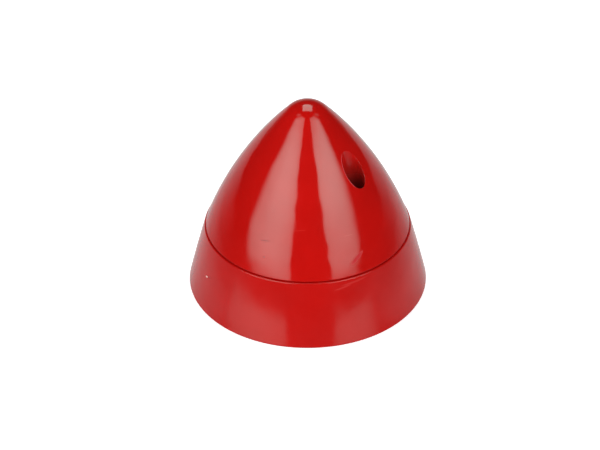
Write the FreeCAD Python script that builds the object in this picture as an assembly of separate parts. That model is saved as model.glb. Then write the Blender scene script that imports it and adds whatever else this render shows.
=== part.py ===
import FreeCAD, Part
import math
import os

# Two-piece propeller spinner, moulded in plastic and held together by two screws.
#
# The backplate is a tapered ring with a flat web across its rear end. The web carries the shaft hub and
# two screw posts, and the space inside the ring takes the propeller's hub. The ring is double-walled: a
# tapered skin outside, a straight wall inside, and a groove between them that opens to the rear and is
# crossed by ribs. A tapered lip on the ring's front land centres the nose cone.
#
# The nose cone is a thin shell with a circular-arc outline and a ball nose. Two deep round pockets run down
# into it, parallel to the shaft, and break out through the sloping wall as long teardrop mouths. Each pocket
# is a tube inside the cone, webbed to the wall, whose foot stands on a screw post of the backplate.
#
# Frame: origin on the shaft axis in the plane of the rear rim, +Z along the shaft to the nose, +X through
# the two screws. Millimetres.

# Outside shape
base_diameter = 63.5      # across the rear rim, 2 1/2 in
overall_height = 55.5     # rear rim to nose
seam_height = 17.9        # rear rim to the joint between backplate and cone
seam_diameter = 54.4      # backplate ring at the joint
cone_step = 0.2           # the cone's foot stands back from the ring by this much, on the radius
cone_arc_radius = 105.0   # sweep of the cone's side
side_bands = 4            # faces that the cone's side is divided into, one above another
nose_radius = 7.4         # ball at the nose

# Walls
cone_wall = 2.0
skin_wall = 2.0           # ring's outer skin
chamber_radius = 22.8     # inside of the ring, where the propeller hub goes
inner_wall = 1.8          # ring's inner wall
web_rear = 1.6            # rear face of the web, recessed from the rim
web_front = 4.4           # front face of the web

# Shaft hub
hub_radius = 10.4
hub_front = 5.0
shaft_hole_diameter = 8.2

# Screw joint
screw_circle = 30.0       # distance between the two screws
pocket_diameter = 6.0
pocket_wall = 1.5
pocket_floor = 2.2        # thickness under the screw head
post_radius_foot = 4.3
post_radius_top = 3.9
screw_diameter = 3.0
screw_clearance = 0.2     # on the radius, through the pocket floor
screw_length = 12.0
head_diameter = 5.5
head_height = 2.2
post_hole_spare = 1.0     # hole depth past the screw's end

# Centring lip
lip_height = 2.6
lip_clearance = 0.12

# Ribs
groove_rib_count = 12
groove_rib_thickness = 1.4
groove_rib_setback = 0.6  # from the rear rim
groove_roof_width = 1.2   # the groove closes where it has narrowed to this
web_rib_count = 8
web_rib_thickness = 1.6
gusset_thickness = 1.6
gusset_inner = 15.5       # height where it meets the post
gusset_outer = 11.0       # height where it meets the ring
cone_rib_angles = (45.0, 90.0, 135.0, 225.0, 270.0, 315.0)
cone_rib_thickness = 1.4
cone_rib_depth = 2.4      # inward from the wall
cone_rib_start = 3.6      # above the joint, clear of the lip
cone_rib_run_out = 5.0    # below the nose ball's centre, where a rib starts to fade into the wall

# Edges
rim_chamfer = 0.4         # rear rim
seam_round = 0.45         # front edge of the ring
foot_chamfer = 0.2        # foot of the cone and foot of the chamber

# Derived sizes
base_radius = base_diameter / 2
seam_radius = seam_diameter / 2
cone_foot_radius = seam_radius - cone_step
screw_offset = screw_circle / 2
screw_places = (("east", screw_offset), ("west", -screw_offset))
head_seat = seam_height + pocket_floor
past = 5.0                # how far a cutting solid runs past what it cuts
up = FreeCAD.Vector(0, 0, 1)


def point(radius, height):
    """A point of the section plane, which holds the axis and +X."""
    return FreeCAD.Vector(radius, 0, height)


def line(start, end):
    return Part.LineSegment(start, end).toShape()


def arc_on(centre, radius, start, end):
    """The short arc about centre from the direction of start to that of end, as an edge and its ends."""
    first = (start - centre).normalize()
    last = (end - centre).normalize()
    middle = (first + last).normalize()
    ends = [centre + direction * radius for direction in (first, middle, last)]
    return Part.Arc(*ends).toShape(), ends[0], ends[2]


def turned(edges):
    """The solid that a closed section sweeps about the shaft axis."""
    face = Part.Face(Part.Wire(Part.__sortEdges__(edges)))
    return face.revolve(FreeCAD.Vector(0, 0, 0), up, 360)


def column(radius, bottom, top, x=0.0):
    return Part.makeCylinder(radius, top - bottom, FreeCAD.Vector(x, 0, bottom))


def radial_plate(angle, thickness, inner, outer, bottom, top):
    """An upright plate that runs outwards from the axis at an angle in degrees."""
    corner = FreeCAD.Vector(inner, -thickness / 2, bottom)
    plate = Part.makeBox(outer - inner, thickness, top - bottom, corner)
    plate.rotate(FreeCAD.Vector(0, 0, 0), up, angle)
    return plate


def fused(shapes):
    return shapes[0].multiFuse(shapes[1:]).removeSplitter() if len(shapes) > 1 else shapes[0]


# The cone's side is an arc about side_centre, and its nose a ball about nose_centre that the arc runs into
# with no corner. The arc passes through the foot, so its centre is where two circles cross.

def cone_centres():
    foot = point(cone_foot_radius, seam_height)
    nose = point(0, overall_height - nose_radius)
    reach_foot = cone_arc_radius
    reach_nose = cone_arc_radius - nose_radius
    span = (nose - foot).Length
    along = (reach_foot ** 2 - reach_nose ** 2 + span ** 2) / (2 * span)
    aside = math.sqrt(reach_foot ** 2 - along ** 2)
    direction = (nose - foot).normalize()
    inward = FreeCAD.Vector(-direction.z, 0, direction.x)
    if inward.x > 0:
        inward = inward * -1
    return foot + direction * along + inward * aside, nose


side_centre, nose_centre = cone_centres()


def side_radius_at(height, depth=0.0):
    """Radius of the cone's side at a height, depth inside its outer surface. Holds below the nose ball."""
    reach = cone_arc_radius - depth
    return side_centre.x + math.sqrt(reach ** 2 - (height - side_centre.z) ** 2)


def side_point(height, depth=0.0):
    return point(side_radius_at(height, depth), height)


def side_arcs(start, end, count):
    """The cone's side from start to end as arcs of one circle, joined end to end."""
    full, first, last = arc_on(side_centre, cone_arc_radius, start, end)
    low, high = full.ParameterRange
    step = (high - low) / count
    edges = [Part.Edge(full.Curve, low + step * i, low + step * (i + 1)) for i in range(count)]
    return edges, first, last


def cone_blank():
    """Everything inside the cone's outline, foot to nose, with the foot's edge chamfered."""
    foot = side_point(seam_height + foot_chamfer)
    sides, start, end = side_arcs(foot, nose_centre, side_bands)
    crown = point(0, overall_height)
    nose, _, _ = arc_on(nose_centre, nose_radius, end, crown)
    corner = point(cone_foot_radius - foot_chamfer, seam_height)
    axis_foot = point(0, seam_height)
    return turned(sides + [nose, line(crown, axis_foot), line(axis_foot, corner), line(corner, start)])


def core(depth, bottom):
    """The moulding's core: tapers that follow the cone's side at a depth, under a ball."""
    ball_start = side_centre + (nose_centre - side_centre).normalize() * (cone_arc_radius - depth)
    rise = (ball_start.z - seam_height) / side_bands
    tapers = [side_point(seam_height + rise * i, depth) for i in range(side_bands)] + [ball_start]
    crown = point(0, overall_height - depth)
    ball, _, _ = arc_on(nose_centre, nose_radius - depth, ball_start, crown)
    lead = (tapers[0] - tapers[1]).normalize()
    mouth = tapers[0] + lead * ((bottom - seam_height) / lead.z)
    axis_foot = point(0, bottom)
    corners = [crown, axis_foot, mouth] + tapers
    return turned([ball] + [line(a, b) for a, b in zip(corners, corners[1:])])


def pocket_tubes():
    tube_radius = pocket_diameter / 2 + pocket_wall
    return [column(tube_radius, seam_height, overall_height, x) for _, x in screw_places]


def tube_webs():
    """A web on each tube's outer side that ties it to the wall."""
    return [radial_plate(angle, cone_rib_thickness, screw_offset, base_radius,
                         seam_height + cone_rib_start, overall_height) for angle in (0.0, 180.0)]


def wall_ribs():
    """Shallow ribs on the inside of the wall, from above the lip to near the nose, where they fade out."""
    bottom = seam_height + cone_rib_start
    fade = nose_centre.z - cone_rib_run_out
    outer_depth = cone_wall / 2
    inner_depth = cone_wall + cone_rib_depth
    outer, outer_low, outer_high = arc_on(side_centre, cone_arc_radius - outer_depth,
                                          side_point(bottom, outer_depth), nose_centre)
    inner, inner_low, inner_high = arc_on(side_centre, cone_arc_radius - inner_depth,
                                          side_point(bottom, inner_depth), side_point(fade, inner_depth))
    section = [outer, line(outer_high, inner_high), inner, line(inner_low, outer_low)]
    face = Part.Face(Part.Wire(Part.__sortEdges__(section)))
    rib = face.extrude(FreeCAD.Vector(0, cone_rib_thickness, 0))
    rib.translate(FreeCAD.Vector(0, -cone_rib_thickness / 2, 0))
    ribs = []
    for angle in cone_rib_angles:
        placed = rib.copy()
        placed.rotate(FreeCAD.Vector(0, 0, 0), up, angle)
        ribs.append(placed)
    return ribs


def nose_cone():
    middle_of_wall = core(cone_wall / 2, seam_height - past)
    inside = [piece.common(middle_of_wall) for piece in pocket_tubes() + tube_webs()]
    shell = cone_blank().cut(core(cone_wall, seam_height - past))
    cone = fused([shell] + inside + wall_ribs())
    for _, x in screw_places:
        cone = cone.cut(column(pocket_diameter / 2, head_seat, overall_height + past, x))
        cone = cone.cut(column(screw_diameter / 2 + screw_clearance, seam_height - past, head_seat + past, x))
    return cone


# The ring's side is a straight taper from the rear rim to the joint. Its front end runs into a round that
# touches both the taper and the flat land that the cone stands on.

ring_taper = math.atan2(base_radius - seam_radius, seam_height)


def ring_radius_at(height, depth=0.0):
    """Radius of the ring's side at a height, depth inside its outer surface."""
    return base_radius - height * math.tan(ring_taper) - depth / math.cos(ring_taper)


def ring_blank():
    """The backplate as a full turned blank, rear rim to joint."""
    outward = FreeCAD.Vector(math.cos(ring_taper), 0, math.sin(ring_taper))
    round_height = seam_height - seam_round
    round_centre = point(ring_radius_at(round_height, seam_round), round_height)
    side_end = round_centre + outward * seam_round
    land_end = round_centre + up * seam_round
    front, _, _ = arc_on(round_centre, seam_round, side_end, land_end)
    side_start = point(ring_radius_at(rim_chamfer), rim_chamfer)
    rear_corner = point(side_start.x - rim_chamfer, 0)
    corners = [land_end, point(0, seam_height), point(0, 0), rear_corner, side_start, side_end]
    return turned([front] + [line(a, b) for a, b in zip(corners, corners[1:])])


def centring_lip():
    """A tapered lip parallel to the mouth of the cone's core."""
    outside = core(cone_wall + lip_clearance, seam_height - past)
    inside = column(chamber_radius - past, seam_height - 2 * past, overall_height)
    above = column(base_radius, seam_height + lip_height, overall_height)
    return outside.cut(inside).cut(above)


def groove():
    """The space between the ring's two walls, open to the rear, with its ribs left standing."""
    inner = chamber_radius + inner_wall
    roof = (ring_radius_at(0, skin_wall) - inner - groove_roof_width) / math.tan(ring_taper)
    rear = -past
    corners = [point(inner, rear), point(ring_radius_at(0, skin_wall), rear),
               point(ring_radius_at(0, skin_wall), 0), point(ring_radius_at(roof, skin_wall), roof),
               point(inner, roof)]
    space = turned([line(a, b) for a, b in zip(corners, corners[1:] + corners[:1])])
    for number in range(groove_rib_count):
        angle = 360.0 * (number + 0.5) / groove_rib_count
        rib = radial_plate(angle, groove_rib_thickness, inner - past, base_radius, groove_rib_setback,
                           seam_height)
        space = space.cut(rib)
    return space


def chamber():
    """The space inside the ring, with a chamfer left around its floor."""
    top = seam_height + lip_height + past
    corners = [point(0, web_front), point(chamber_radius - foot_chamfer, web_front),
               point(chamber_radius, web_front + foot_chamfer), point(chamber_radius, top), point(0, top)]
    return turned([line(a, b) for a, b in zip(corners, corners[1:] + corners[:1])])


def web_recess():
    """The shallow recess behind the web, around the hub, with its ribs left standing."""
    space = column(chamber_radius, -past, web_rear).cut(column(hub_radius, -2 * past, web_rear + past))
    for number in range(web_rib_count):
        angle = 360.0 * (number + 0.5) / web_rib_count
        rib = radial_plate(angle, web_rib_thickness, 0, base_radius, groove_rib_setback, web_rear + past)
        space = space.cut(rib)
    return space


def screw_posts():
    """Posts that meet the feet of the cone's screw tubes, each with a gusset out to the ring."""
    pieces = []
    for _, x in screw_places:
        post = Part.makeCone(post_radius_foot, post_radius_top, seam_height - web_front,
                             FreeCAD.Vector(x, 0, web_front))
        pieces.append(post)
        side = math.copysign(1, x)
        reach = side * (chamber_radius + inner_wall / 2)
        outline = [(x, web_front), (reach, web_front), (reach, gusset_outer), (x, gusset_inner)]
        corners = [FreeCAD.Vector(along, -gusset_thickness / 2, height) for along, height in outline]
        face = Part.Face(Part.makePolygon(corners + corners[:1]))
        pieces.append(face.extrude(FreeCAD.Vector(0, gusset_thickness, 0)))
    return pieces


def backplate():
    body = fused([ring_blank(), centring_lip()]).cut(chamber())
    body = body.cut(groove()).cut(web_recess())
    hub = column(hub_radius, web_rear, hub_front)
    body = fused([body, hub] + screw_posts())
    body = body.cut(column(shaft_hole_diameter / 2, -past, hub_front + past))
    for _, x in screw_places:
        hole_foot = head_seat - screw_length - post_hole_spare
        body = body.cut(column(screw_diameter / 2, hole_foot, seam_height + past, x))
    return body


def cone_screw(x):
    """Cheese-head screw with a cross recess. Its thread is a plain shank at the full diameter."""
    head_chamfer = 0.3
    recess_width = 0.9
    recess_length = 3.0
    recess_depth = 1.3
    point_chamfer = 0.5
    head_radius = head_diameter / 2
    shank_radius = screw_diameter / 2
    top = head_seat + head_height
    end = head_seat - screw_length
    corners = [point(0, top), point(0, end), point(shank_radius - point_chamfer, end),
               point(shank_radius, end + point_chamfer), point(shank_radius, head_seat),
               point(head_radius, head_seat), point(head_radius, top - head_chamfer),
               point(head_radius - head_chamfer, top)]
    screw = turned([line(a, b) for a, b in zip(corners, corners[1:] + corners[:1])])
    for length, width in ((recess_length, recess_width), (recess_width, recess_length)):
        corner = FreeCAD.Vector(-length / 2, -width / 2, top - recess_depth)
        screw = screw.cut(Part.makeBox(length, width, recess_depth + past, corner))
    screw.translate(FreeCAD.Vector(x, 0, 0))
    return screw


def export(name, shape):
    if not shape.isValid() or len(shape.Solids) != 1:
        raise ValueError(f"{name}: valid {shape.isValid()}, {len(shape.Solids)} solids")
    solid = shape.Solids[0]
    solid.exportStep(f"parts/{name}.step")
    print(f"{name}: {solid.Volume / 1000:.2f} cm3, {len(solid.Faces)} faces")


def main():
    os.makedirs("parts", exist_ok=True)
    export("backplate", backplate())
    export("nose_cone", nose_cone())
    for side, x in screw_places:
        export(f"cone_screw_{side}", cone_screw(x))


main()
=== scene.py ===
import math

import bmesh
import bpy
import numpy as np
from mathutils import Matrix, Vector
from mathutils.geometry import delaunay_2d_cdt


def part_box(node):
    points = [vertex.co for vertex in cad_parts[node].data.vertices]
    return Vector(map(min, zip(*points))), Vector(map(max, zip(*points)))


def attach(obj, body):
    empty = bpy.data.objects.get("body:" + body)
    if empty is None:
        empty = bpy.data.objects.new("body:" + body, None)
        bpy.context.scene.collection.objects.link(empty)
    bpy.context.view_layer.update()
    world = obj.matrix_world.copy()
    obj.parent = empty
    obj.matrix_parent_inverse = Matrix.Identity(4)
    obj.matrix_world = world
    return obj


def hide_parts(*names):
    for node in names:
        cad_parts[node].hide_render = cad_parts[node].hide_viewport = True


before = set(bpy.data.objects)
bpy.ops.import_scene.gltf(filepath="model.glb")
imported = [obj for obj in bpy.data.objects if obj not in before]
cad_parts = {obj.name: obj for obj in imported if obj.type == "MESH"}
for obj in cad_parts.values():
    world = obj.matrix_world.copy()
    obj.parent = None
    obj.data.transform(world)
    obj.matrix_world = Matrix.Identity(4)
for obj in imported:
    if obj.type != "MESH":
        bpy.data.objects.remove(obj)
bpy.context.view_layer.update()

# Shapes are drawn in millimetres, as a maker would draw them, and stored in metres.
mm = 0.001
tiny = 1e-9                     # a radius that counts as none
coneLow, coneHigh = (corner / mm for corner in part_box("nose_cone"))
screwLow, screwHigh = (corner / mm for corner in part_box("cone_screw_east"))
screwOffset = (screwLow.x + screwHigh.x) / 2        # from the shaft axis to each screw
seamHeight = coneLow.z
noseTop = coneHigh.z
print("frame loaded: seam at", round(seamHeight, 2), "mm, nose at", round(noseTop, 2), "mm")


# Mesh helpers

cutting = {
    "rodSegments": 96,
    "holeSegments": 64,
    "cornerLead": 0.5,          # turns a rod's corners off those of what it cuts
    "overrun": 2.0,             # how far a drill runs past its hole
}


def makeObject(name, verts, faces):
    mesh = bpy.data.meshes.new(name)
    mesh.from_pydata([(x * mm, y * mm, z * mm) for x, y, z in verts], [], faces)
    mesh.validate()
    piece = bpy.data.objects.new(name, mesh)
    bpy.context.scene.collection.objects.link(piece)
    return piece


def faceOutwards(piece):
    shape = bmesh.new()
    shape.from_mesh(piece.data)
    bmesh.ops.recalc_face_normals(shape, faces=shape.faces)
    if shape.calc_volume(signed=True) < 0:
        bmesh.ops.reverse_faces(shape, faces=shape.faces)
    shape.to_mesh(piece.data)
    shape.free()
    return piece


def ringOfPoints(radius, height, segments, lead=0.0):
    turns = [2 * math.pi * (i + lead) / segments for i in range(segments)]
    return [(radius * math.cos(t), radius * math.sin(t), height) for t in turns]


def addRing(verts, points):
    verts += points
    return list(range(len(verts) - len(points), len(verts)))


def joinRings(low, high):
    # quads between two rings of vertex numbers, or triangles where one ring is a single pole
    count = max(len(low), len(high))
    faces = []
    for i in range(count):
        j = (i + 1) % count
        if len(low) == 1:
            faces.append([low[0], high[j], high[i]])
        elif len(high) == 1:
            faces.append([low[i], low[j], high[0]])
        else:
            faces.append([low[i], low[j], high[j], high[i]])
    return faces


def turned(name, profile, segments, lead=0.0):
    # profile is (radius, height) round the section, a radius of 0 is a pole, and lead turns the corners
    verts, rings, faces = [], [], []
    for radius, height in profile:
        points = [(0, 0, height)] if radius < tiny else ringOfPoints(radius, height, segments, lead)
        rings.append(addRing(verts, points))
    for low, high in zip(rings, rings[1:]):
        faces += joinRings(low, high)
    if len(rings[0]) > 1:
        faces += joinRings(rings[-1], rings[0])
    return faceOutwards(makeObject(name, verts, faces))


def rod(name, x, low, high, radiusLow, radiusHigh=None, segments=cutting["rodSegments"]):
    profile = [(0, low), (radiusLow, low), (radiusHigh or radiusLow, high), (0, high)]
    piece = turned(name, profile, segments, cutting["cornerLead"])
    piece.data.transform(Matrix.Translation((x * mm, 0, 0)))
    return piece


def plate(name, outline, thickness, turnDegrees):
    # an upright plate in a plane through the shaft axis; outline is (radius, height)
    turn = math.radians(turnDegrees)
    c, s = math.cos(turn), math.sin(turn)
    half = thickness / 2
    verts = [(r * c + side * half * s, r * s - side * half * c, z) for side in (1, -1) for r, z in outline]
    count = len(outline)
    faces = [list(range(count)), list(range(2 * count - 1, count - 1, -1))]
    faces += [[i, i + count, (i + 1) % count + count, (i + 1) % count] for i in range(count)]
    return faceOutwards(makeObject(name, verts, faces))


def joined(pieces):
    # several separate solids as one object, so that one step adds or cuts them all
    shape = bmesh.new()
    for piece in pieces:
        shape.from_mesh(piece.data)
    shape.to_mesh(pieces[0].data)
    shape.free()
    for piece in pieces[1:]:
        bpy.data.objects.remove(piece)
    return pieces[0]


def rods(name, low, high, *radii, **settings):
    # the same rod at both screws
    return joined([rod(name, x, low, high, *radii, **settings) for x in (screwOffset, -screwOffset)])


def plates(name, outline, thickness, turns):
    return joined([plate(name, outline, thickness, turn) for turn in turns])


def combine(piece, tool, operation):
    change = piece.modifiers.new("step", "BOOLEAN")
    change.operation = operation
    change.solver = "EXACT"
    change.object = tool
    evaluated = piece.evaluated_get(bpy.context.evaluated_depsgraph_get())
    mesh = bpy.data.meshes.new_from_object(evaluated)
    piece.modifiers.clear()
    piece.data = mesh
    bpy.data.objects.remove(tool)
    return piece


def arcPoints(centre, radius, fromDegrees, toDegrees, steps):
    # points of an arc, both ends included, with angles counted from straight out
    angles = [math.radians(fromDegrees + (toDegrees - fromDegrees) * i / steps) for i in range(steps + 1)]
    return [(centre[0] + radius * math.cos(a), centre[1] + radius * math.sin(a)) for a in angles]


shading = {
    "crease": 28.0,             # degrees between faces from which an edge stays sharp
    "agreement": 38.0,          # degrees by which a corner may be off the true direction and still take it
    "nearness": 0.004,          # how far off the true surface a corner may lie and still be on it
}


def read(items, key, width, kind=np.float32):
    values = np.empty(len(items) * width, kind)
    items.foreach_get(key, values)
    return values.reshape(-1, width)


def turnedNormal(points, centreRadius, centreHeight, reach):
    # which points lie on the surface that an arc sweeps round the shaft, and its direction at each of them
    radius = np.hypot(points[:, 0], points[:, 1])
    dr, dz = radius - centreRadius, points[:, 2] - centreHeight
    length = np.hypot(dr, dz)
    out = np.maximum(radius, tiny)
    direction = np.stack([points[:, 0] / out * dr, points[:, 1] / out * dr, dz], 1) / length[:, None]
    return np.abs(length - reach) < shading["nearness"], direction


def smoothShade(piece, trueNormal):
    # flat faces stay flat, and corners on the turned outside get that surface's exact direction
    mesh = piece.data
    mesh.shade_smooth()
    mesh.set_sharp_from_angle(angle=math.radians(shading["crease"]))
    normals = read(mesh.corner_normals, "vector", 3)
    onSkin, direction = trueNormal((read(mesh.vertices, "co", 3) / mm).astype(float))
    corner = read(mesh.loops, "vertex_index", 1, np.int32)[:, 0]
    agrees = (normals * direction[corner]).sum(1) > math.cos(math.radians(shading["agreement"]))
    use = onSkin[corner] & agrees
    normals[use] = direction[corner][use]
    mesh.normals_split_custom_set(normals.tolist())
    return piece


# The turned outline of the cone: a ball nose that runs into an arc

cone = {
    "sideSweep": 105.0,         # radius of the arc that the side follows
    "noseBall": 7.4,
    "footRadius": 27.0,         # at the seam, before its edge is rounded
    "footRound": 0.22,
    "partingGap": 0.06,         # relief under the cone's edge
    "partingDepth": 1.0,
    "wall": 2.0,
    "segments": 288,
    "ballSteps": 18,
    "sideSteps": 66,
    "footSteps": 6,
    "coreTapers": 4,            # the core's side is straight between these
    "coreBallSteps": 10,
    "coreSegments": 144,
    "coreLead": 0.27,           # turns the core's corners off the shell's
    "coreOverrun": 4.0,         # how far the core reaches below the seam
    "beyond": 30.0,             # a radius outside the whole cone
    "pocketRadius": 3.0,
    "pocketWall": 1.5,
    "pocketFloor": 2.2,
    "pocketMiddle": 34.0,       # height of a ring of corners part way down
    "pocketFoot": ((0.25, 1.0), (0.07, 0.976), (0.0, 0.93)),    # height above the floor, share of the radius
    "tubeOverrun": 6.0,
    "clearanceHole": 3.4,
    "mouthReach": 0.1,          # how far the rounding of a pocket's mouth reaches over the side
    "mouthSteps": 6,
    "mouthSegments": 120,
    "mouthGap": 1.0,            # the side's grid stops this far from a pocket, and triangles fill the gap
    "guideReach": 0.35,         # a ring of corners that keeps those triangles even
    "gridReach": 0.6,           # corners of the grid stay this far from the mouth
    "ribAngles": (45, 90, 135, 225, 270, 315),
    "ribThickness": 1.4,
    "ribDepth": 2.4,
    "ribStart": 3.6,            # above the seam
    "ribEnd": 5.0,              # below the middle of the nose ball
    "ribRunOut": 3.0,           # height over which a rib's end slopes into the wall
    "ribRoot": 1.0,             # depth in the wall where that slope ends
    "ribSteps": 12,
}


def crossing(foot, nose, reachFoot, reachNose):
    # where two circles cross, on the shaft's side of the line between their centres
    span = math.dist(foot, nose)
    along = (reachFoot ** 2 - reachNose ** 2 + span ** 2) / (2 * span)
    aside = math.sqrt(reachFoot ** 2 - along ** 2)
    ux, uz = (nose[0] - foot[0]) / span, (nose[1] - foot[1]) / span
    return foot[0] + ux * along - uz * aside, foot[1] + uz * along + ux * aside


noseCentre = (0.0, noseTop - cone["noseBall"])
sideCentre = crossing((cone["footRadius"], seamHeight), noseCentre, cone["sideSweep"],
                      cone["sideSweep"] - cone["noseBall"])
runInAngle = math.atan2(noseCentre[1] - sideCentre[1], noseCentre[0] - sideCentre[0])


def coneSide(height, depth=0.0):
    reach = cone["sideSweep"] - depth
    return sideCentre[0] + math.sqrt(reach ** 2 - (height - sideCentre[1]) ** 2)


def coneTop(radius):
    # height of the outside over a point this far from the shaft axis
    runIn = noseCentre[0] + cone["noseBall"] * math.cos(runInAngle)
    if radius < runIn:
        return noseCentre[1] + math.sqrt(cone["noseBall"] ** 2 - radius ** 2)
    return sideCentre[1] + math.sqrt(cone["sideSweep"] ** 2 - (radius - sideCentre[0]) ** 2)


def coneNormal(points):
    onBall = np.arctan2(points[:, 2] - noseCentre[1], np.hypot(points[:, 0], points[:, 1])) > runInAngle
    onSkin, direction = turnedNormal(points, np.where(onBall, noseCentre[0], sideCentre[0]),
                                     np.where(onBall, noseCentre[1], sideCentre[1]),
                                     np.where(onBall, cone["noseBall"], cone["sideSweep"]))
    return onSkin & (points[:, 2] > seamHeight + cone["partingGap"]), direction


def outsideRadii():
    # radii of the rows from the pole to the foot, evenly spaced along the outline
    footTop = seamHeight + cone["partingGap"] + cone["footRound"]
    runIn = math.degrees(runInAngle)
    foot = math.degrees(math.atan2(footTop - sideCentre[1], coneSide(footTop) - sideCentre[0]))
    outline = arcPoints(noseCentre, cone["noseBall"], 90, runIn, cone["ballSteps"])[1:]
    outline += arcPoints(sideCentre, cone["sideSweep"], runIn, foot, cone["sideSteps"])[1:]
    return [radius for radius, height in outline]


# The cone's side is a grid of rows from the pole down, cut away round the two pockets. Corner 0 is the pole.

def gridCorner(row, column):
    return 1 + row * cone["segments"] + column % cone["segments"]


def cellCorners(row, column):
    # down, along, up and back again
    return [gridCorner(row, column), gridCorner(row + 1, column),
            gridCorner(row + 1, column + 1), gridCorner(row, column + 1)]


def gapEdges(cells):
    # the edges between the cells that are cut away and those that stay, taken the other way round
    edges = []
    for row, column in sorted(cells):
        corners = cellCorners(row, column)
        for side, (down, along) in enumerate(((-1, 0), (0, 1), (1, 0), (0, -1))):
            if (row + down, (column + along) % cone["segments"]) not in cells:
                edges.append((corners[-side], corners[-side - 1]))
    return edges


def fillGap(verts, faces, x, radii, cells, mouth, guide):
    # triangles between the grid and the ring of corners at a pocket's mouth
    reach = cone["pocketRadius"] + cone["mouthReach"]
    edges = gapEdges(cells)
    border = {corner for edge in edges for corner in edge}
    inside = sorted({corner for cell in cells for corner in cellCorners(*cell)} - border)
    kept = [n for n in inside if math.hypot(verts[n][0] - x, verts[n][1]) > reach + cone["gridReach"]]
    numbers = sorted(border) + kept + mouth + guide
    local = {number: i for i, number in enumerate(numbers)}
    edges += zip(mouth, mouth[1:] + mouth[:1])
    flat = [Vector(verts[n][:2]) for n in numbers]
    sameCorner, noArea, chordSlack = 1e-6, 1e-5, 0.9995
    points, _, triangles, origin, _, _ = delaunay_2d_cdt(flat, [(local[a], local[b]) for a, b in edges], [],
                                                         0, sameCorner)
    for triangle in triangles:
        one, two, three = (points[i] for i in triangle)
        if abs((two - one).cross(three - one)) < noArea:
            continue            # three corners in a row, just outside the gap
        middle = (one + two + three) / 3
        row = int(np.searchsorted(radii, math.hypot(middle.x, middle.y))) - 1
        turn = math.atan2(middle.y, middle.x) % (2 * math.pi)
        column = int(turn / (2 * math.pi) * cone["segments"]) % cone["segments"]
        if (row, column) in cells and math.hypot(middle.x - x, middle.y) > reach * chordSlack:
            faces.append([numbers[origin[i][0]] for i in triangle])


def addPocket(verts, faces, x, radii, cells):
    # one pocket: the patch round its mouth, the rounded lip, the wall and the floor
    turns = [2 * math.pi * i / cone["mouthSegments"] for i in range(cone["mouthSegments"])]
    bore, lip = cone["pocketRadius"], cone["pocketRadius"] + cone["mouthReach"]

    def onSide(reach, turn):
        px, py = x + reach * math.cos(turn), reach * math.sin(turn)
        return px, py, coneTop(math.hypot(px, py))

    rings = [addRing(verts, [onSide(lip, turn) for turn in turns])]
    guide = addRing(verts, [onSide(lip + cone["guideReach"], turn) for turn in turns])
    fillGap(verts, faces, x, radii, cells, rings[0], guide)
    for step in range(1, cone["mouthSteps"] + 1):
        t = step / cone["mouthSteps"]
        ring = []
        for turn in turns:
            start, edge = Vector(onSide(lip, turn)), Vector(onSide(bore, turn))
            end = edge - Vector((0, 0, (start - edge).length))
            ring.append(tuple(start * (1 - t) ** 2 + edge * 2 * t * (1 - t) + end * t ** 2))
        rings.append(addRing(verts, ring))
    floor = seamHeight + cone["pocketFloor"]
    foot = [(floor + up, share) for up, share in cone["pocketFoot"]]
    for height, share in [(cone["pocketMiddle"], 1.0)] + foot:
        reach = bore * share
        rings.append(addRing(verts, [(x + reach * math.cos(t), reach * math.sin(t), height) for t in turns]))
    for low, high in zip(rings, rings[1:]):
        faces += joinRings(low, high)
    faces.append(rings[-1])


def coneSkin():
    # the full body with its two pockets, before the core is taken out
    segments = cone["segments"]
    radii = outsideRadii()
    verts = [(0.0, 0.0, noseTop)]
    for radius in radii:
        verts += ringOfPoints(radius, coneTop(radius), segments)
    faces = [[0, gridCorner(0, column), gridCorner(0, column + 1)] for column in range(segments)]
    nearest = cone["pocketRadius"] + cone["mouthGap"]
    removed = {screwOffset: set(), -screwOffset: set()}
    for row in range(len(radii) - 1):
        for column in range(segments):
            quad = cellCorners(row, column)
            close = [x for x in removed
                     if min(math.hypot(verts[n][0] - x, verts[n][1]) for n in quad) < nearest]
            if close:
                removed[close[0]].add((row, column))
            else:
                faces.append(quad)
    for x, cells in removed.items():
        addPocket(verts, faces, x, radii, cells)
    last = [gridCorner(len(radii) - 1, column) for column in range(segments)]
    base, edge = seamHeight + cone["partingGap"], cone["footRound"]
    slope = math.atan2(base + edge - sideCentre[1], radii[-1] - sideCentre[0])
    middle = (radii[-1] - edge * math.cos(slope), base + edge * (1 - math.sin(slope)))
    foot = arcPoints(middle, edge, math.degrees(slope), -90, cone["footSteps"])[1:]
    inward = cone["footRadius"] - cone["partingDepth"]
    foot += [(inward, foot[-1][1]), (inward, seamHeight)]
    for radius, height in foot:
        ring = addRing(verts, ringOfPoints(radius, height, segments))
        faces += joinRings(last, ring)
        last = ring
    faces.append(last)
    return faceOutwards(makeObject("noseConeShell", verts, faces))


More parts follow.
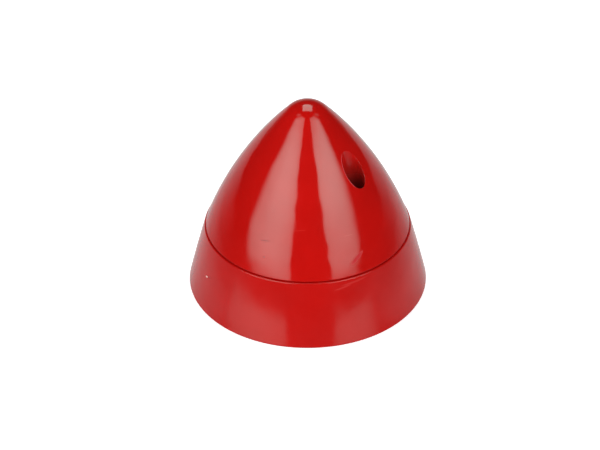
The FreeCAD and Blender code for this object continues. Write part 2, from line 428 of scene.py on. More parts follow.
def coneCore():
    # everything that is hollow inside: the core less the pocket tubes, their webs and the ribs
    depth, beyond = cone["wall"], cone["beyond"]
    innerBall = cone["noseBall"] - depth
    rise = (noseCentre[1] + innerBall * math.sin(runInAngle) - seamHeight) / cone["coreTapers"]
    heights = [seamHeight + rise * i for i in range(cone["coreTapers"])]
    tapers = [(coneSide(height, depth), height) for height in heights]
    ball = arcPoints(noseCentre, innerBall, math.degrees(runInAngle), 90, cone["coreBallSteps"])
    flare = (tapers[0][0] - tapers[1][0]) / rise
    foot = seamHeight - cone["coreOverrun"]
    profile = [(0, foot), (tapers[0][0] + flare * cone["coreOverrun"], foot)] + tapers
    profile += ball[:-1] + [(0, noseTop - depth)]
    core = turned("core", profile, cone["coreSegments"], cone["coreLead"])
    tubeRadius = cone["pocketRadius"] + cone["pocketWall"]
    for x in (screwOffset, -screwOffset):
        tube = rod("tube", x, seamHeight - cone["tubeOverrun"], noseTop, tubeRadius)
        combine(core, tube, "DIFFERENCE")
    start = seamHeight + cone["ribStart"]
    outline = [(screwOffset, start), (beyond, start), (beyond, noseTop), (screwOffset, noseTop)]
    combine(core, plates("web", outline, cone["ribThickness"], (0, 180)), "DIFFERENCE")
    reach = cone["sideSweep"] - depth - cone["ribDepth"]
    fade = noseCentre[1] - cone["ribEnd"]
    end = fade + cone["ribRunOut"]
    low, high = (math.degrees(math.asin((z - sideCentre[1]) / reach)) for z in (start, fade))
    outline = arcPoints(sideCentre, reach, low, high, cone["ribSteps"])
    outline += [(coneSide(end, cone["ribRoot"]), end), (beyond, end), (beyond, start)]
    combine(core, plates("rib", outline, cone["ribThickness"], cone["ribAngles"]), "DIFFERENCE")
    return core


def makeCone():
    shell = coneSkin()
    combine(shell, coneCore(), "DIFFERENCE")
    floor = seamHeight + cone["pocketFloor"]
    past = cutting["overrun"]
    combine(shell, rods("hole", seamHeight - past, floor + past, cone["clearanceHole"] / 2,
                              segments=cutting["holeSegments"]), "DIFFERENCE")
    return smoothShade(shell, coneNormal)


noseCone = makeCone()
print("nose cone:", len(noseCone.data.polygons), "faces")


# The backplate: ring, web, hub and posts

ring = {
    "baseRadius": 31.75,        # rear rim to the sharp corner
    "seamRadius": 27.2,
    "bulge": 0.09,              # how far the side bows out
    "rearRound": 0.42,
    "frontRound": 0.25,
    "rebate": 0.3,              # step outside the cone's seat, which shows as the dark seam line
    "skin": 2.0,
    "chamber": 22.8,
    "innerWall": 1.8,
    "webRear": 1.6,
    "webFront": 4.4,
    "hubRadius": 10.4,
    "hubFront": 5.0,
    "shaftHole": 8.2,
    "shaftChamfer": 0.3,
    "edgeChamfer": 0.2,
    "lipChamfer": 0.15,
    "grooveRoof": 15.4,
    "lipHeight": 2.6,
    "lipGap": 0.12,
    "ribSetback": 0.6,
    "grooveRibs": 12,
    "grooveRibThickness": 1.4,
    "webRibs": 8,
    "webRibThickness": 1.6,
    "skinRoot": 1.0,            # how deep ribs, posts and gussets reach into the skin, the web or the hub,
    "wallRoot": 0.9,            # the chamber's wall
    "roofRoot": 0.6,            # and the groove's roof
    "postFoot": 4.3,
    "postTop": 3.9,
    "gussetThickness": 1.6,
    "gussetInner": 15.5,
    "gussetOuter": 11.0,
    "screwHole": 3.0,
    "screwHoleFoot": 7.1,
    "segments": 288,
    "sideSteps": 30,
    "roundSteps": 8,
}


def ringCircle():
    # the arc that runs from rim to seam and bows out by the bulge
    dr, dz, bulge = ring["seamRadius"] - ring["baseRadius"], seamHeight, ring["bulge"]
    chord = math.hypot(dr, dz)
    reach = (chord ** 2 / 4 + bulge ** 2) / (2 * bulge)
    back = (reach - bulge) / chord
    return (ring["baseRadius"] + dr / 2 - dz * back, dz / 2 + dr * back), reach


ringCentre, ringReach = ringCircle()


def ringSide(height, depth=0.0):
    return ringCentre[0] + math.sqrt((ringReach - depth) ** 2 - (height - ringCentre[1]) ** 2)


def ringNormal(points):
    onSkin, direction = turnedNormal(points, *ringCentre, ringReach)
    return onSkin & (points[:, 2] < seamHeight), direction


def tangentRound(radius, height, inward):
    # centre of a round between the ring's side and a flat, and the angle where it meets the side
    z = height + inward * radius
    centre = (ringSide(z, radius), z)
    return centre, math.degrees(math.atan2(centre[1] - ringCentre[1], centre[0] - ringCentre[0]))


def ringProfile():
    rear, rearAngle = tangentRound(ring["rearRound"], 0, 1)
    front, frontAngle = tangentRound(ring["frontRound"], seamHeight - ring["rebate"], -1)
    side = arcPoints(ringCentre, ringReach, rearAngle, frontAngle, ring["sideSteps"])
    lipDepth = cone["wall"] + ring["lipGap"]
    lipTop = seamHeight + ring["lipHeight"]
    lipFoot, lipEdge = coneSide(seamHeight, lipDepth), coneSide(lipTop, lipDepth)
    chamber, web, hub, hubFront = ring["chamber"], ring["webFront"], ring["hubRadius"], ring["hubFront"]
    inner, shaft, roof = chamber + ring["innerWall"], ring["shaftHole"] / 2, ring["grooveRoof"]
    shaftEdge, edge, lipInner = ring["shaftChamfer"], ring["edgeChamfer"], ring["lipChamfer"]
    seat = cone["footRadius"] - cone["partingDepth"]
    profile = [(shaft, shaftEdge), (shaft, hubFront - shaftEdge), (shaft + shaftEdge, hubFront),
               (hub - edge, hubFront), (hub, hubFront - edge), (hub, web),
               (chamber - edge, web), (chamber, web + edge),
               (chamber, lipTop - lipInner), (chamber + lipInner, lipTop),
               (lipEdge - edge, lipTop), (lipEdge, lipTop - edge), (lipFoot, seamHeight),
               (seat, seamHeight), (seat, seamHeight - ring["rebate"])]
    profile += arcPoints(front, ring["frontRound"], 90, frontAngle, ring["roundSteps"])
    profile += side[::-1][1:]
    profile += arcPoints(rear, ring["rearRound"], rearAngle, -90, ring["roundSteps"])[1:]
    profile += [(ringSide(0, ring["skin"]), 0), (ringSide(roof, ring["skin"]), roof), (inner, roof),
                (inner, 0), (chamber, 0), (chamber, ring["webRear"]), (hub, ring["webRear"]), (hub, 0),
                (shaft + shaftEdge, 0)]
    return profile


def ribsAround(outline, thickness, count):
    # evenly spaced, with none in line with the screws
    return plates("rib", outline, thickness, [360 / count * (i + 0.5) for i in range(count)])


def makeBackplate():
    body = turned("backplateShell", ringProfile(), ring["segments"])
    setback, root, wall = ring["ribSetback"], ring["skinRoot"], ring["chamber"] + ring["wallRoot"]
    roof = ring["grooveRoof"] + ring["roofRoot"]
    inner = ring["chamber"] + ring["innerWall"] - ring["wallRoot"]
    grooveRib = [(inner, setback), (ringSide(setback, root), setback),
                 (ringSide(roof, root), roof), (inner, roof)]
    combine(body, ribsAround(grooveRib, ring["grooveRibThickness"], ring["grooveRibs"]), "UNION")
    hub, top = ring["hubRadius"] - root, ring["webRear"] + root
    webRib = [(hub, setback), (wall, setback), (wall, top), (hub, top)]
    combine(body, ribsAround(webRib, ring["webRibThickness"], ring["webRibs"]), "UNION")
    foot = ring["webFront"] - root
    combine(body, rods("post", foot, seamHeight, ring["postFoot"], ring["postTop"]), "UNION")
    gusset = [(screwOffset, foot), (wall, foot), (wall, ring["gussetOuter"]),
              (screwOffset, ring["gussetInner"])]
    combine(body, plates("gusset", gusset, ring["gussetThickness"], (0, 180)), "UNION")
    combine(body, rods("hole", ring["screwHoleFoot"], seamHeight + cutting["overrun"],
                             ring["screwHole"] / 2, segments=cutting["holeSegments"]), "DIFFERENCE")
    return smoothShade(body, ringNormal)


backplate = makeBackplate()
print("backplate:", len(backplate.data.polygons), "faces")


# The two cheese-head screws at the bottom of the pockets

screw = {
    "shankRadius": 1.5,
    "thread": 0.22,             # depth
    "pitch": 0.5,
    "rowsPerPitch": 8,
    "threadRunOut": 0.8,
    "neck": 0.2,                # plain shank under the head
    "headHeight": 2.2,
    "seatEdge": 0.1,
    "edgeRound": 0.35,
    "roundSteps": 5,
    "pointTaper": 0.5,
    "recessLength": 3.0,
    "recessFoot": 0.55,         # share of that length at the recess's floor
    "recessWidth": 0.9,
    "recessDepth": 1.3,
    "recessOverrun": 0.5,
    "segments": 48,
    "crease": 35.0,
}


def threadRadius(turnShare, height, low, high):
    # a V thread that runs out at both ends
    phase = (height / screw["pitch"] - turnShare) % 1.0
    groove = abs(phase - 0.5) * 2
    fade = min(1.0, (height - low) / screw["threadRunOut"], (high - height) / screw["threadRunOut"])
    return screw["shankRadius"] - screw["thread"] * (1 - groove) * max(0.0, fade)


def makeScrew(name, x):
    segments = screw["segments"]
    low, top = screwLow.z, screwHigh.z
    seat = top - screw["headHeight"]
    head = (screwHigh.x - screwLow.x) / 2
    verts, rings = [(x, 0, low)], [[0]]

    def addRow(radii, height):
        turns = [2 * math.pi * i / segments for i in range(segments)]
        rings.append(addRing(verts, [(x + radius * math.cos(turn), radius * math.sin(turn), height)
                                     for turn, radius in zip(turns, radii)]))

    addRow([screw["shankRadius"] - screw["pointTaper"]] * segments, low)
    threadLow, threadHigh = low + screw["pointTaper"], seat - screw["neck"]
    rows = round((seat - threadLow) / (screw["pitch"] / screw["rowsPerPitch"]))
    for row in range(rows):
        height = threadLow + (threadHigh - threadLow) * row / (rows - 1)
        addRow([threadRadius(i / segments, height, threadLow, seat) for i in range(segments)], height)
    edge, seatEdge = screw["edgeRound"], screw["seatEdge"]
    outline = [(screw["shankRadius"], seat), (head - seatEdge, seat), (head, seat + seatEdge)]
    outline += arcPoints((head - edge, top - edge), edge, 0, 90, screw["roundSteps"])
    for radius, height in outline:
        addRow([radius] * segments, height)
    rings.append(addRing(verts, [(x, 0, top)]))
    faces = []
    for lower, upper in zip(rings, rings[1:]):
        faces += joinRings(lower, upper)
    body = faceOutwards(makeObject(name, verts, faces))
    half, floor, over = screw["recessLength"] / 2, top - screw["recessDepth"], top + screw["recessOverrun"]
    foot = half * screw["recessFoot"]
    outline = [(-foot, floor), (foot, floor), (half, over), (-half, over)]
    for turn in (0, 90):
        slot = plate("slot", outline, screw["recessWidth"], turn)
        slot.data.transform(Matrix.Translation((x * mm, 0, 0)))
        combine(body, slot, "DIFFERENCE")
    body.data.shade_smooth()
    body.data.set_sharp_from_angle(angle=math.radians(screw["crease"]))
    return body


screwEast = makeScrew("screwEastBody", screwOffset)
screwWest = makeScrew("screwWestBody", -screwOffset)
print("screws:", len(screwEast.data.polygons), "faces each")


# Materials

class NodeSheet:
    # wires a material or the world: each call adds a node, sets its sockets and joins its inputs
    def __init__(self, name, kind="materials"):
        self.owner = getattr(bpy.data, kind).new(name)
        self.owner.use_nodes = True
        self.tree = self.owner.node_tree
        self.tree.nodes.clear()

    def add(self, kind, inputs=None, **settings):
        node = self.tree.nodes.new(kind)
        for key, value in settings.items():
            setattr(node, key, value)
        for key, value in (inputs or {}).items():
            socket = node.inputs[key]
            if isinstance(value, bpy.types.NodeSocket):
                self.tree.links.new(value, socket)
            else:
                socket.default_value = value
        return node

    def ramp(self, fac, *stops):
        node = self.add("ShaderNodeValToRGB", {"Fac": fac})
        bar = node.color_ramp
        while len(bar.elements) < len(stops):
            bar.elements.new(0.5)
        for element, (place, level) in zip(bar.elements, stops):
            element.position = place
            element.color = (level, level, level, 1)
        return node.outputs["Color"]

    def math(self, operation, a, b=0.0, clamp=False):
        return self.add("ShaderNodeMath", {0: a, 1: b}, operation=operation, use_clamp=clamp).outputs[0]

    def plus(self, a, b):
        return self.math("ADD", a, b)

    def times(self, a, b):
        return self.math("MULTIPLY", a, b)

    def toward(self, a, b, turn):
        # the distance along a direction that lies this turn from a's towards b's
        return self.plus(self.times(a, math.cos(turn)), self.times(b, math.sin(turn)))

    def blend(self, share, a, b):
        return self.add("ShaderNodeMix", {"Factor": share, 6: a, 7: b}, data_type="RGBA").outputs[2]

    def noise(self, where, scale, detail, roughness=0.5):
        inputs = {"Vector": where, "Scale": scale, "Detail": detail, "Roughness": roughness}
        return self.add("ShaderNodeTexNoise", inputs).outputs["Fac"]

    def bump(self, where, noise, height, strength, under=None):
        # noise is its scale and detail; under is a bump that this one lies on
        inputs = {"Height": self.noise(where, *noise), "Distance": height, "Strength": strength}
        return self.add("ShaderNodeBump", inputs | ({"Normal": under} if under else {})).outputs[0]

    def attribute(self, name):
        return self.add("ShaderNodeAttribute", attribute_name=name).outputs["Fac"]

    def output(self, shader, kind="ShaderNodeOutputMaterial"):
        self.add(kind, {"Surface": shader.outputs[0]})
        return self.owner


plastic = {
    "colour": (0.53, 0.0055, 0.004, 1),
    "darker": (0.49, 0.005, 0.0035, 1),
    "toneNoise": (90, 3),                   # scale and detail of the faint patches between the two
    "toneRange": (0.35, 0.65),
    "roughness": 0.07,
    "ringRoughness": 0.14,
    "roughNoise": (160, 4, 0.6),
    "roughRange": (0.4, 0.75),
    "roughSpread": 0.05,
    "pocket": (0.27, 0.011, 0.008, 1),      # painted shade down in the pockets, darker towards their floors
    "pocketShade": (43.0, 35.0),            # heights where the shade starts and where it is full
    "pocketRough": 0.3,
    "pocketEdge": 1.012,                    # share of the pocket's radius where the shade ends
    "lip": (0.68, 0.08, 0.09, 1),           # pale painted highlight along one side of a pocket's mouth
    "lipShare": 0.045,
    "lipTurn": 262.0,
    "lipFade": (0.45, 0.8),
    "wave": ((140, 1), 0.00012, 1.0),       # left by the mould: noise, height in metres and strength
    "grain": ((2600, 2), 0.0000015, 0.5),
    "ior": 1.5,
}


# Wear: small spots and streaks, and a nick on the ring shown only by a painted highlight and the painted
# shade beside it.
# A row holds the angle round the shaft from +X, the height, the half length, the half width, the tilt of its
# length up from level, the colour and the roughness that it adds.
wearAndPaintedNick = {
    "ring": (
        # a nick: a painted highlight, then its painted shade
        (-116.4, 9.4, 0.6, 0.24, 15, (0.95, 0.62, 0.55, 1), 0.5),
        (-113.8, 10.0, 0.5, 0.2, 15, (0.2, 0.01, 0.01, 1), 0.6),
        (-26.0, 16.5, 4.4, 0.3, 4, (0.57, 0.018, 0.016, 1), 0.08),
        (-33.0, 15.7, 2.6, 0.25, 9, (0.57, 0.018, 0.016, 1), 0.08)),
    "cone": (
        (-80.2, 26.6, 1.6, 0.18, 8, (0.33, 0.01, 0.01, 1), 0.2),
        (-78.7, 22.7, 0.3, 0.2, 0, (0.25, 0.01, 0.01, 1), 0.3),
        (-57.0, 30.3, 1.8, 0.12, 6, (0.57, 0.018, 0.015, 1), 0.05),
        (-24.5, 27.9, 1.5, 0.12, -4, (0.55, 0.02, 0.015, 1), 0.05),
        (-22.0, 22.0, 2.6, 0.6, 30, (0.5, 0.006, 0.012, 1), 0.8)),
    "fade": (0.35, 1.0),        # where a mark starts to fade and where it ends, as shares of its size squared
    "ringFrom": 26.0,           # marks lie only on what is this far out
    "coneFrom": 1.0,
}


def markMask(sheet, where, outFrom, angle, height, length, width, tilt):
    # 1 on the mark and 0 away from it, worked out from the place on the object
    x, y, z = sheet.add("ShaderNodeSeparateXYZ", {0: where}).outputs
    angle, tilt = math.radians(angle), math.radians(tilt)
    along, up = sheet.toward(y, x, -angle), sheet.math("SUBTRACT", z, height * mm)
    parts = ((sheet.toward(along, up, tilt), length), (sheet.toward(up, along, -tilt), width))
    squares = [sheet.math("POWER", sheet.times(part, 1 / (size * mm)), 2.0) for part, size in parts]
    near = sheet.math("GREATER_THAN", sheet.toward(x, y, angle), outFrom * mm)
    full, gone = wearAndPaintedNick["fade"]
    return sheet.times(near, sheet.ramp(sheet.plus(*squares), (full, 1.0), (gone, 0.0)))


def pocketShadeAndHighlight(sheet, where):
    # painted shade inside the two pockets, fuller deeper down, and a painted highlight along the lower side
    # of their mouths
    x, y, z = sheet.add("ShaderNodeSeparateXYZ", {0: where}).outputs
    side = sheet.math("SUBTRACT", sheet.math("ABSOLUTE", x), screwOffset * mm)
    out = sheet.math("POWER", sheet.plus(sheet.math("POWER", side, 2.0), sheet.math("POWER", y, 2.0)), 0.5)
    radius, edge = cone["pocketRadius"] * mm, plastic["pocketEdge"]
    top, bottom = (height * mm for height in plastic["pocketShade"])
    depth = sheet.math("MULTIPLY", sheet.math("SUBTRACT", top, z), 1 / (top - bottom), clamp=True)
    inside = sheet.math("LESS_THAN", out, radius * edge)
    # the painted highlight: a thin band just outside the mouth, fading in towards one side
    lip = sheet.times(sheet.math("GREATER_THAN", out, radius * edge),
                      sheet.math("LESS_THAN", out, radius * (edge + plastic["lipShare"])))
    start, full = plastic["lipFade"]
    across = sheet.times(sheet.toward(side, y, math.radians(plastic["lipTurn"])), 1 / radius)
    return sheet.times(inside, depth), sheet.times(lip, sheet.ramp(across, (start, 0.0), (full, 1.0)))


def makePlastic(name, roughness, marks, marksFrom, hasPockets):
    sheet = NodeSheet(name)
    where = sheet.add("ShaderNodeTexCoord").outputs["Object"]
    start, full = plastic["toneRange"]
    tone = sheet.ramp(sheet.noise(where, *plastic["toneNoise"]), (start, 0.0), (full, 1.0))
    colour = sheet.blend(tone, plastic["darker"], plastic["colour"])
    start, full = plastic["roughRange"]
    rough = sheet.ramp(sheet.noise(where, *plastic["roughNoise"]), (start, roughness),
                       (full, roughness + plastic["roughSpread"]))
    if hasPockets:
        inside, lip = pocketShadeAndHighlight(sheet, where)
        # painted shade in the pockets, then the painted highlight along their mouths
        colour = sheet.blend(lip, sheet.blend(inside, colour, plastic["pocket"]), plastic["lip"])
        rough = sheet.plus(rough, sheet.times(inside, plastic["pocketRough"]))
    # wear marks, and on the ring the painted highlight and painted shade of a nick
    for *mark, markColour, markRough in marks:
        mask = markMask(sheet, where, marksFrom, *mark)
        colour = sheet.blend(mask, colour, markColour)
        rough = sheet.plus(rough, sheet.times(mask, markRough))
    grain = sheet.bump(where, *plastic["grain"], sheet.bump(where, *plastic["wave"]))
    return sheet.output(sheet.add("ShaderNodeBsdfPrincipled", {
        "Base Color": colour, "Roughness": rough, "Normal": grain, "IOR": plastic["ior"]}))


screwSteel = {
    "colour": (0.55, 0.55, 0.54, 1),
    "roughNoise": (900, 3),
    "roughRange": ((0.3, 0.26), (0.7, 0.4)),    # of the noise, and the roughness there
    "grain": ((5000, 2), 0.000004, 0.4),        # noise, height in metres and strength
}


def makeSteel(name):
    sheet = NodeSheet(name)
    where = sheet.add("ShaderNodeTexCoord").outputs["Object"]
    rough = sheet.ramp(sheet.noise(where, *screwSteel["roughNoise"]), *screwSteel["roughRange"])
    grain = sheet.bump(where, *screwSteel["grain"])
    return sheet.output(sheet.add("ShaderNodeBsdfPrincipled", {
        "Base Color": screwSteel["colour"], "Metallic": 1.0, "Roughness": rough, "Normal": grain}))


conePlastic = makePlastic("conePlastic", plastic["roughness"], wearAndPaintedNick["cone"], wearAndPaintedNick["coneFrom"], True)
ringPlastic = makePlastic("ringPlastic", plastic["ringRoughness"], wearAndPaintedNick["ring"], wearAndPaintedNick["ringFrom"], False)
steel = makeSteel("screwSteel")

dressed = (
    (noseCone, conePlastic, "cone_plastic", "nose_cone"),
    (backplate, ringPlastic, "ring_plastic", "backplate"),
    (screwEast, steel, "screw_steel", "cone_screw_east"),
    (screwWest, steel, "screw_steel", "cone_screw_west"),
)
for piece, material, slot, node in dressed:
    piece.data.materials.clear()
    piece.data.materials.append(material)
    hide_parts(node)
    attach(piece, "root")
print("materials done")


# Camera: a long lens that looks down at the nose, with one pocket on its right

camera = {
    "distance": 0.79296,
    "azimuth": 38.0,            # degrees from -Y towards +X
    "elevation": 36.249,
    "lens": 177.40,
    "sensor": 36.0,
    "clipStart": 0.05,
    "aimRight": 0.14894,        # degrees that the view is turned off the shaft's foot
    "aimUp": 0.99878,
    "roll": -0.17584,
}


def fromCamera(turn, rise):
    # the direction that lies this far round to the camera's right, and this far above the table, in degrees
    turn, rise = math.radians(camera["azimuth"] + turn), math.radians(rise)
    return Vector((math.sin(turn) * math.cos(rise), -math.cos(turn) * math.cos(rise), math.sin(rise)))


def swing(first, second, degrees):
    # two directions turned together in their own plane
    c, s = math.cos(math.radians(degrees)), math.sin(math.radians(degrees))
    return first * c + second * s, second * c - first * s


def makeCamera():
    place = fromCamera(0, camera["elevation"]) * camera["distance"]
    azimuth = math.radians(camera["azimuth"])
    forward = -place.normalized()
    right = Vector((math.cos(azimuth), math.sin(azimuth), 0))
    up = right.cross(forward)
    right, forward = swing(right, forward, camera["aimRight"])
    forward, up = swing(forward, up, camera["aimUp"])
    right, up = swing(right, up, camera["roll"])
    lens = bpy.data.cameras.new("camera")
    lens.lens = camera["lens"]
    lens.sensor_width = camera["sensor"]
    lens.clip_start = camera["clipStart"]
    view = bpy.data.objects.new("camera", lens)
    view.matrix_world = Matrix.Translation(place) @ Matrix((right, up, -forward)).transposed().to_4x4()
    bpy.context.scene.collection.objects.link(view)
    bpy.context.scene.camera = view


makeCamera()


# Studio: two tall soft boxes at the sides, and a weak one and a small high one behind, light the matt colour.
# Sheets of light take their place in the gloss, inside a black wall and ceiling, over a pale table.
# Directions are a turn from the camera and a rise above the table, in degrees.

studio = {
    "boxDistance": 0.9,
    "boxes": (                  # name, middle turn, low and high rise, width in metres, brightness
        ("softBoxLeft", -47.5, 0.0, 59.0, 0.937, 2.65),
        ("softBoxRight", 44.0, 2.0, 59.0, 0.80, 2.65),
        ("softBoxBack", 180.0, 8.0, 48.0, 0.9, 1.0),
    ),
    "topTurn": 180.0,
    "topRise": 64.0,
    "topSize": (0.38, 0.48),
    "topBrightness": 3.0,
    "fill": 0.07,               # brightness of the room for the matt colour
    "tableHalf": 3000,          # millimetres
    "tableColour": (0.86, 0.86, 0.86, 1),
    "tableRough": 0.25,
    "tableGlow": 0.6,           # added for what the camera sees, so that the table reads as white
    "turnStep": 5.0,            # degrees between the corners of what stands all round
    "flagDistance": 1000,       # millimetres
    "flagHeights": (0.5, 3200),
    "flagColour": (0.02, 0.02, 0.02, 1),
    "shineSteps": 40,
    "shineTint": (0.5, 1.0, 0.92, 1),   # less red, as a camera's tone curve leaves highlights on red
    "sheetHeight": 0.05,
    "sheetRough": 0.1,
    "sheetRings": ((0.1, 1), (45, 1), (60, 1), (70, 1), (92, 0), (150, 0), (1000, 0)),    # radius and polish
    "sheetTones": (             # turn, then the brightness on each ring in hundredths
        (0, 7, 7, 5, 4, 2, 0, 0), (30, 8, 8, 6, 5, 4, 0, 0), (45, 19, 18, 16, 12, 12, 2, 0),
        (50, 33, 30, 22, 16, 16, 3, 0), (55, 42, 40, 30, 20, 22, 4, 0), (62, 50, 48, 38, 28, 30, 6, 0),
        (72, 52, 50, 38, 26, 22, 4, 0), (80, 58, 56, 40, 28, 20, 4, 0), (90, 62, 60, 46, 36, 24, 5, 0),
        (100, 66, 62, 50, 44, 30, 8, 2), (112, 68, 64, 54, 50, 40, 18, 6), (125, 70, 67, 60, 58, 50, 36, 24),
        (140, 74, 72, 66, 64, 62, 56, 48), (160, 78, 76, 74, 74, 72, 72, 68),
        (180, 80, 80, 80, 80, 78, 78, 78)),
}

# How each light looks in the gloss, brightest in its middle and weaker towards its edges. edge holds the near
# and the far turn at each rise, and across and rise hold the brightness by place.
shines = {
    "shineLeft": {
        "edge": ((-2, -18, -68), (3, -18, -75), (8, -18, -80), (20, -18, -81), (50, -18, -80), (58, -18, -74),
                 (68, -18, -70)),
        "across": ((0, 0), (0.02, 0.5), (0.07, 0.75), (0.16, 0.88), (0.3, 1), (0.54, 1),
                   (0.64, 0.88), (0.82, 0.7), (0.9, 0.4), (0.96, 0.08), (1, 0)),
        "rise": ((-2, 0), (0, 0.35), (3, 0.6), (10, 0.8), (16, 0.82), (26, 1), (37, 1), (43, 0.85),
                 (49, 0.62), (58, 0.52), (65, 0.4), (68, 0)),
        "brightness": 4.9,
    },
    "shineRight": {
        "edge": ((0, 25, 58), (5, 24, 63), (10, 23, 67), (20, 21, 72), (32, 18.5, 77), (68, 18.5, 78)),
        "across": ((0, 0), (0.025, 0.55), (0.08, 0.85), (0.2, 0.95), (0.4, 1), (0.62, 0.97),
                   (0.75, 0.85), (0.86, 0.5), (0.94, 0.12), (1, 0)),
        "rise": ((0, 0), (1, 0.3), (4, 0.46), (9, 0.64), (16, 0.7), (21, 0.86), (28, 1), (38, 0.98),
                 (44, 0.82), (50, 0.55), (59, 0.46), (65, 0.34), (68, 0)),
        "brightness": 4.9,
    },
    "shineHookLeft": {
        "edge": ((50, -76, -102), (68, -71, -98)),
        "across": ((0, 0.6), (0.25, 1), (0.7, 1), (1, 0)),
        "rise": ((50, 0), (56, 1), (63, 1), (68, 0)),
        "brightness": 1.2,
    },
    "shineHookRight": {
        "edge": ((48, 80, 104), (68, 80, 100)),
        "across": ((0, 0.6), (0.25, 1), (0.7, 1), (1, 0)),
        "rise": ((48, 0), (53, 1), (62, 1), (68, 0)),
        "brightness": 0.9,
    },
    "shineTop": {
        "edge": ((47, 161, 198), (53.3, 156.9, 202.1), (59.8, 150.5, 208.5), (65.6, 141, 218),
                 (70.4, 126.2, 232.8), (72.2, 115.5, 243.5), (75, 121.5, 237.5), (78, 131, 228),
                 (80, 142.5, 216.5), (82, 177.5, 181.5)),
        "across": ((0, 0), (0.06, 1), (0.94, 1), (1, 0)),
        "rise": ((47, 0), (48.5, 1), (82, 0.95)),
        "brightness": 4.2,
    },
    "shineRoom": {              # the pale backdrop far behind
        "edge": ((0, 128, 232), (26, 132, 228)),
        "across": ((0, 0), (0.1, 0.25), (0.2, 0.6), (0.35, 1), (0.65, 1), (0.8, 0.6), (0.9, 0.25),
                   (1, 0)),
        "rise": ((0, 0.95), (6, 0.6), (12, 0.35), (20, 0.14), (26, 0)),
        "brightness": 0.8,
    },
}


def softBox(name, middle, target, width, height, brightness):
    lamp = bpy.data.lights.new(name, "AREA")
    lamp.shape = "RECTANGLE"
    lamp.size, lamp.size_y = width, height
    lamp.energy = brightness * math.pi * width * height
    box = bpy.data.objects.new(name, lamp)
    box.location = middle
    box.rotation_euler = (target - middle).to_track_quat("-Z", "Y").to_euler()
    box.visible_camera = box.visible_glossy = False
    bpy.context.scene.collection.objects.link(box)


def lightStudio():
    reach = studio["boxDistance"]
    for name, turn, low, high, width, brightness in studio["boxes"]:
        bottom, top = (reach * math.tan(math.radians(rise)) for rise in (low, high))
        middle = fromCamera(turn, 0) * reach
        middle.z = (bottom + top) / 2
        softBox(name, middle, Vector((0, 0, middle.z)), width, top - bottom, brightness)
    middle = fromCamera(studio["topTurn"], studio["topRise"]) * reach + Vector((0, 0, noseTop * mm))
    softBox("softBoxTop", middle, Vector((0, 0, noseTop * mm)), *studio["topSize"], studio["topBrightness"])


def between(stops, place):
    # the value at a place on a line of (place, value, ...) stops
    places = [stop[0] for stop in stops]
    return [float(np.interp(place, places, [stop[k] for stop in stops])) for k in range(1, len(stops[0]))]


def glossCard(name, verts, faces, values, material):
    # a stage piece that only the gloss sees; values holds numbers for its corners
    card = makeObject(name, verts, faces)
    for key, numbers in values.items():
        card.data.attributes.new(key, "FLOAT", "POINT").data.foreach_set("value", numbers)
    card.data.materials.append(material)
    for ray in ("camera", "diffuse", "shadow", "transmission", "volume_scatter"):
        setattr(card, "visible_" + ray, False)
    return card


def gridFaces(rows, columns):
    return [[i, i + 1, i + columns + 1, i + columns]
            for row in range(rows - 1) for i in range(row * columns, (row + 1) * columns - 1)]


def makeShine(name, look):
    # a curved sheet of light that stands where its soft box stands
    low, high = look["rise"][0][0], look["rise"][-1][0]
    steps, reach = studio["shineSteps"], studio["boxDistance"] / mm
    middle = Vector((0, 0, noseTop / 2))
    verts, levels = [], []
    for row in range(steps + 1):
        rise = low + (high - low) * row / steps
        near, far = between(look["edge"], rise)
        for column in range(steps + 1):
            share = column / steps
            verts.append(tuple(fromCamera(near + (far - near) * share, rise) * reach + middle))
            levels.append(between(look["across"], share)[0] * between(look["rise"], rise)[0])
    sheet = NodeSheet(name)
    strength = sheet.times(sheet.attribute("level"), look["brightness"])
    glow = sheet.add("ShaderNodeEmission", {"Color": studio["shineTint"], "Strength": strength})
    card = glossCard(name, verts, gridFaces(steps + 1, steps + 1), {"level": levels}, sheet.output(glow))
    card.data.shade_smooth()


def whiteToView(sheet):
    # 1 for what the camera sees, straight on or in gloss and glass
    path = sheet.add("ShaderNodeLightPath").outputs
    seen = sheet.plus(path["Is Camera Ray"], path["Is Glossy Ray"])
    return sheet.math("ADD", seen, path["Is Transmission Ray"], clamp=True)


def makeRoom():
    sheet = NodeSheet("room", "worlds")
    strength = sheet.add("ShaderNodeMapRange", {"Value": whiteToView(sheet), "To Min": studio["fill"]})
    glow = sheet.add("ShaderNodeBackground", {"Color": (1, 1, 1, 1), "Strength": strength.outputs[0]})
    bpy.context.scene.world = sheet.output(glow, "ShaderNodeOutputWorld")


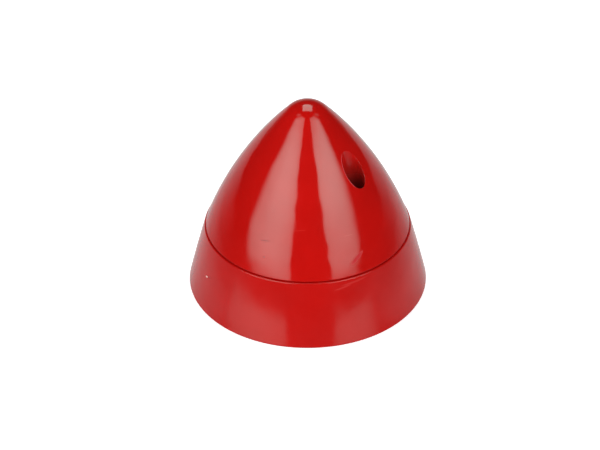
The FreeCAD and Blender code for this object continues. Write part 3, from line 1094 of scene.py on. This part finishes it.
def makeTable():
    half = studio["tableHalf"]
    corners = [(-half, -half, 0), (half, -half, 0), (half, half, 0), (-half, half, 0)]
    table = makeObject("table", corners, [[0, 1, 2, 3]])
    sheet = NodeSheet("tableWhite")
    matt = {"Base Color": studio["tableColour"], "Roughness": studio["tableRough"]}
    top = sheet.add("ShaderNodeBsdfPrincipled", matt)
    glow = sheet.add("ShaderNodeEmission", {"Strength": sheet.times(whiteToView(sheet), studio["tableGlow"])})
    both = sheet.add("ShaderNodeAddShader", {0: top.outputs[0], 1: glow.outputs[0]})
    table.data.materials.append(sheet.output(both))


def around(reach):
    # turns and places of a ring of points about the shaft, with the first point again at the end
    steps = round(360 / studio["turnStep"])
    turns = [360 * i / steps - 180 for i in range(steps + 1)]
    return turns, [fromCamera(turn, 0) * reach for turn in turns]


def makeSheet():
    # lies on the table, polished near the object and as bright as its tones whatever lights it,
    # so that the object's shadow doesn't count twice
    verts, tones, polish = [], [], []
    for number, (radius, share) in enumerate(studio["sheetRings"]):
        turns, places = around(radius)
        verts += [(place.x, place.y, studio["sheetHeight"]) for place in places]
        tones += [between(studio["sheetTones"], abs(turn))[number] / 100 for turn in turns]
        polish += [float(share)] * len(turns)
    sheet = NodeSheet("glossSheet")
    tone = sheet.attribute("level")
    plain = sheet.add("ShaderNodeEmission", {"Strength": tone}).outputs[0]
    shiny = sheet.add("ShaderNodeBsdfPrincipled", {
        "Base Color": (0, 0, 0, 1), "Roughness": studio["sheetRough"],
        "Emission Color": (1, 1, 1, 1), "Emission Strength": tone}).outputs[0]
    mixed = sheet.add("ShaderNodeMixShader", {0: sheet.attribute("polish"), 1: plain, 2: shiny})
    glossCard("glossSheet", verts, gridFaces(len(studio["sheetRings"]), len(turns)),
              {"level": tones, "polish": polish}, sheet.output(mixed))


def makeFlags():
    # a black wall and ceiling keep the pale room out of the gloss
    sheet = NodeSheet("flagBlack")
    black = sheet.add("ShaderNodeBsdfDiffuse", {"Color": studio["flagColour"]})
    wall, verts = around(studio["flagDistance"])[1][:-1], []
    foot, top = (addRing(verts, [(place.x, place.y, height) for place in wall])
                 for height in studio["flagHeights"])
    glossCard("flagWall", verts, joinRings(foot, top) + [top], {}, sheet.output(black))


for shineName, shineLook in shines.items():
    makeShine(shineName, shineLook)
lightStudio()
makeRoom()
makeTable()
makeSheet()
makeFlags()
bpy.context.scene.view_settings.view_transform = "Standard"
print("camera, lamps and table done")
